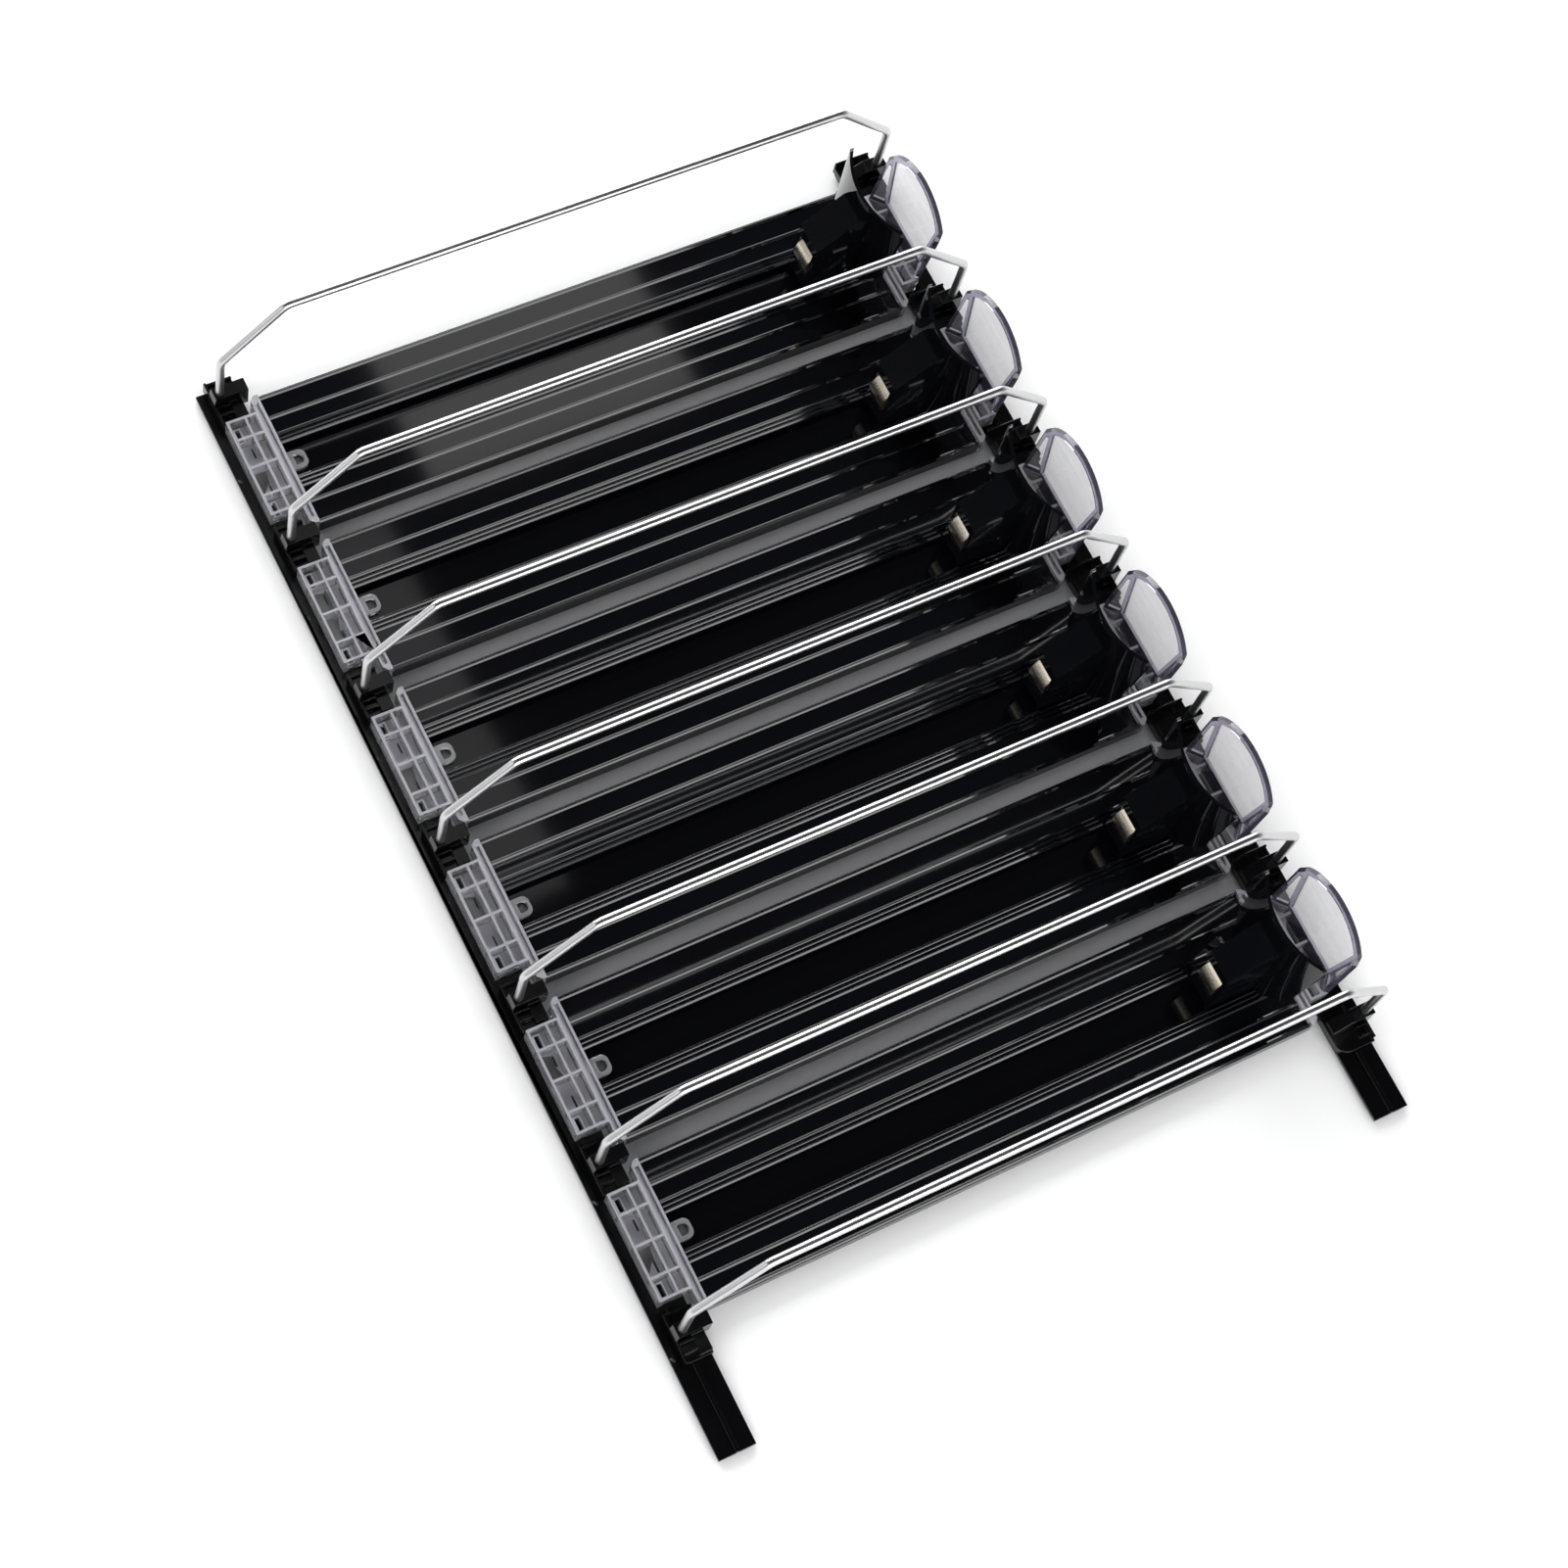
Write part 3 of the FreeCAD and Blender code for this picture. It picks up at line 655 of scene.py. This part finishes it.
class ORGANIZER_OT_rails(bpy.types.Operator):
    """Rounds the edges of the two rails"""

    bl_idname = "organizer.rails"
    bl_label = "Rails"

    def execute(self, context):
        for node in ("rear_rail", "front_rail"):
            moulded_copy(node, f"{node}_strip", "black_plastic", context.scene.organizer_sizes.rail_edge)
        return {"FINISHED"}


class ORGANIZER_OT_tracks(bpy.types.Operator):
    """Rounds the ribs and edges of the six tracks"""

    bl_idname = "organizer.tracks"
    bl_label = "Ribbed tracks"

    def execute(self, context):
        for number in range(1, LANES + 1):
            moulded_copy(f"track_{number}", f"ribbed_track_{number}", "gloss_black_plastic",
                         context.scene.organizer_sizes.deck_edge)
        return {"FINISHED"}


class ORGANIZER_OT_connectors(bpy.types.Operator):
    """Makes the six clear rear connectors"""

    bl_idname = "organizer.connectors"
    bl_label = "Rear connectors"

    def execute(self, context):
        for number in range(1, LANES + 1):
            piece = moulded_copy(f"rear_connector_{number}", f"clear_connector_{number}", "clear_plastic",
                                 context.scene.organizer_sizes.clear_edge)
            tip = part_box(f"rear_connector_{number}")[0].y
            # Painted highlight on the connector's wall tops, tab and inner cells
            mark_faces(piece.data, "painted_highlight", connector_frost(piece.data, tip))
        return {"FINISHED"}


class ORGANIZER_OT_stops(bpy.types.Operator):
    """Makes the six clear front stops"""

    bl_idname = "organizer.stops"
    bl_label = "Front stops"

    def execute(self, context):
        for number in range(1, LANES + 1):
            stop = moulded_copy(f"front_stop_{number}", f"clear_stop_{number}", "clear_plastic",
                                context.scene.organizer_sizes.clear_edge)
            # Painted highlight on the narrow tops and ledges below the pane's foot, where the stop would
            # mirror the bright room
            mark_faces(stop.data, "painted_highlight", frosted_tops(stop.data, PANE_FOOT))
            mark_faces(stop.data, "rim", rim_faces(stop.data, PANE_FOOT))
        return {"FINISHED"}


class ORGANIZER_OT_pushers(bpy.types.Operator):
    """Makes the six pushers"""

    bl_idname = "organizer.pushers"
    bl_label = "Pushers"

    def execute(self, context):
        for number in range(1, LANES + 1):
            moulded_copy(f"pusher_{number}", f"paddle_{number}", "gloss_black_plastic",
                         context.scene.organizer_sizes.pusher_edge)
        return {"FINISHED"}


class ORGANIZER_OT_clips(bpy.types.Operator):
    """Makes the clips that hold the wires on the rails"""

    bl_idname = "organizer.clips"
    bl_label = "Wire clips"

    def execute(self, context):
        for number in range(1, DIVIDERS + 1):
            for end in ("rear", "front"):
                moulded_copy(f"{end}_clip_{number}", f"{end}_wire_clip_{number}", "black_plastic",
                             context.scene.organizer_sizes.clip_edge)
        return {"FINISHED"}


def point_camera(stage):
    """Puts the camera where it stands: a view by heading and dip, turned about itself by the roll."""
    heading, dip, roll = stage.camera_heading, stage.camera_dip, stage.camera_roll
    view = Vector((math.cos(dip) * math.cos(heading), math.cos(dip) * math.sin(heading), -math.sin(dip)))
    level = view.cross(Vector((0, 0, 1))).normalized()
    upright = level.cross(view)
    right = math.cos(roll) * level + math.sin(roll) * upright
    up = math.cos(roll) * upright - math.sin(roll) * level
    camera = bpy.data.objects.new("camera", bpy.data.cameras.new("camera"))
    bpy.context.scene.collection.objects.link(camera)
    turn = Matrix((right, up, -view)).transposed().to_4x4()
    camera.matrix_world = Matrix.Translation(stage.camera_place) @ turn
    camera.data.lens = stage.camera_lens
    camera.data.sensor_width = 36.0
    camera.data.clip_end = 20.0
    bpy.context.scene.camera = camera


def softbox(name, place, target, width, height, power):
    """A large soft lamp at a place, turned to a target."""
    lamp = bpy.data.lights.new(name, "AREA")
    lamp.shape = "RECTANGLE"
    lamp.size = width
    lamp.size_y = height
    lamp.energy = power
    holder = bpy.data.objects.new(name, lamp)
    bpy.context.scene.collection.objects.link(holder)
    holder.location = place
    holder.rotation_euler = (Vector(target) - Vector(place)).to_track_quat("-Z", "Y").to_euler()


def seen_ray(finish):
    """1 for the rays that look at the stage: straight, mirrored or through clear plastic."""
    kinds = ("Is Camera Ray", "Is Glossy Ray", "Is Transmission Ray")
    straight, mirrored, through = (finish.node("ShaderNodeLightPath", {}, {}, kind) for kind in kinds)
    return straight.math("MAXIMUM", mirrored.math("MAXIMUM", through))


def pale_floor(glow):
    """A matt white floor.

    For the rays that look at it, it adds glow of its own where it lies open, and is white far off.
    """
    finish = Finish(bpy.data.materials.new("pale_floor"))
    cloud = finish.noise(finish.place(), 3.0)
    open_sky = finish.node("ShaderNodeAmbientOcclusion", {"samples": 8}, {"Distance": 0.03}, "AO")
    reach = finish.node("ShaderNodeVectorMath", {"operation": "LENGTH"}, {"Vector": finish.place()}, "Value")
    far_off = finish.node("ShaderNodeMapRange", {}, {"Value": reach, "From Min": 0.7, "From Max": 1.8})
    near = open_sky * open_sky * open_sky * glow
    return finish.close({
        "Base Color": finish.blend(cloud, (0.9, 0.9, 0.9, 1.0), (0.93, 0.93, 0.93, 1.0)),
        "Roughness": 0.9,
        "Specular IOR Level": 0.0,
        "Emission Color": seen_ray(finish) * near.math("MAXIMUM", far_off),
        "Emission Strength": 1.0,
    })


def studio_light():
    """The room: white to the camera, and for all other rays pale near the horizon and dark overhead."""
    room = Finish(bpy.data.worlds.new("studio"))
    bpy.context.scene.world = room.owner
    place = room.node("ShaderNodeTexCoord", {}, {}, "Generated")
    height = room.node("ShaderNodeSeparateXYZ", {}, {"Vector": place}, "Z")
    overhead = room.node("ShaderNodeMapRange", {}, {"Value": height, "From Min": 0.3, "From Max": 0.62})
    light = room.blend(overhead, (0.45, 0.45, 0.47, 1.0), (0.03, 0.03, 0.035, 1.0))
    seen = room.node("ShaderNodeLightPath", {}, {}, "Is Camera Ray")
    sky = room.node("ShaderNodeBackground", {}, {"Color": room.blend(seen, light, (1.0, 1.0, 1.0, 1.0))})
    room.node("ShaderNodeOutputWorld", {}, {"Surface": sky})


def lay_floor(stage):
    """A square floor, a hair below the rails' feet."""
    half = stage.floor_size / 2
    level = -0.2 * MM
    corners = [(-half, -half, level), (half, -half, level), (half, half, level), (-half, half, level)]
    mesh = bpy.data.meshes.new("floor")
    mesh.from_pydata(corners, [], [(0, 1, 2, 3)])
    mesh.materials.append(pale_floor(stage.floor_glow))
    floor = bpy.data.objects.new("floor", mesh)
    bpy.context.scene.collection.objects.link(floor)


class ORGANIZER_OT_stage(bpy.types.Operator):
    """Sets up the camera, the pale floor and the lamps"""

    bl_idname = "organizer.stage"
    bl_label = "Stage"

    def execute(self, context):
        stage = context.scene.organizer_stage
        point_camera(stage)
        lay_floor(stage)
        # Low lamps light the ribs' flanks, the wires and the open floor
        softbox("left_softbox", (-1.7, 0.18, 0.7), (0, 0.18, 0), 2.0, 1.1, 36)
        softbox("right_softbox", (1.7, -0.2, 0.7), (0, -0.2, 0), 2.4, 1.2, 60)
        softbox("rear_softbox", (0.2, 2.0, 1.0), (0, 0, 0), 1.6, 0.7, 5)
        # Small panels overhead show as mirror images in the decks of the right-hand lanes
        softbox("rear_panel", (0.715, -0.1, 1.7), (0.715, -0.1, 0), 0.43, 0.46, 0.42)
        softbox("right_panel", (1.15, -0.54, 1.7), (1.15, -0.54, 0), 0.42, 0.3, 0.55)
        studio_light()
        context.scene.view_settings.view_transform = "Standard"
        return {"FINISHED"}


class ORGANIZER_PT_panel(bpy.types.Panel):
    """Lists the organizer's pieces in the sidebar"""

    bl_idname = "ORGANIZER_PT_panel"
    bl_label = "Can organizer"
    bl_space_type = "VIEW_3D"
    bl_region_type = "UI"
    bl_category = "Can organizer"

    def draw(self, context):
        for operator in OPERATORS:
            self.layout.operator(operator.bl_idname)
        for group in SETTINGS:
            settings = getattr(context.scene, group)
            box = self.layout.box()
            for name in settings.__annotations__:
                box.prop(settings, name)


OPERATORS = (
    ORGANIZER_OT_rails,
    ORGANIZER_OT_tracks,
    ORGANIZER_OT_connectors,
    ORGANIZER_OT_stops,
    ORGANIZER_OT_pushers,
    ORGANIZER_OT_springs,
    ORGANIZER_OT_wires,
    ORGANIZER_OT_clips,
    ORGANIZER_OT_stage,
)
SETTINGS = {
    "organizer_sizes": OrganizerSizes,
    "organizer_finishes": OrganizerFinishes,
    "organizer_stage": OrganizerStage,
}


def register():
    for group in SETTINGS.values():
        bpy.utils.register_class(group)
    for operator in OPERATORS:
        bpy.utils.register_class(operator)
    bpy.utils.register_class(ORGANIZER_PT_panel)
    for name, group in SETTINGS.items():
        setattr(bpy.types.Scene, name, PointerProperty(type=group))


def unregister():
    for name in SETTINGS:
        delattr(bpy.types.Scene, name)
    bpy.utils.unregister_class(ORGANIZER_PT_panel)
    for operator in reversed(OPERATORS):
        bpy.utils.unregister_class(operator)
    for group in SETTINGS.values():
        bpy.utils.unregister_class(group)


def main():
    register()
    for operator in OPERATORS:
        group, name = operator.bl_idname.split(".")
        getattr(getattr(bpy.ops, group), name)()


if __name__ == "__main__":
    main()
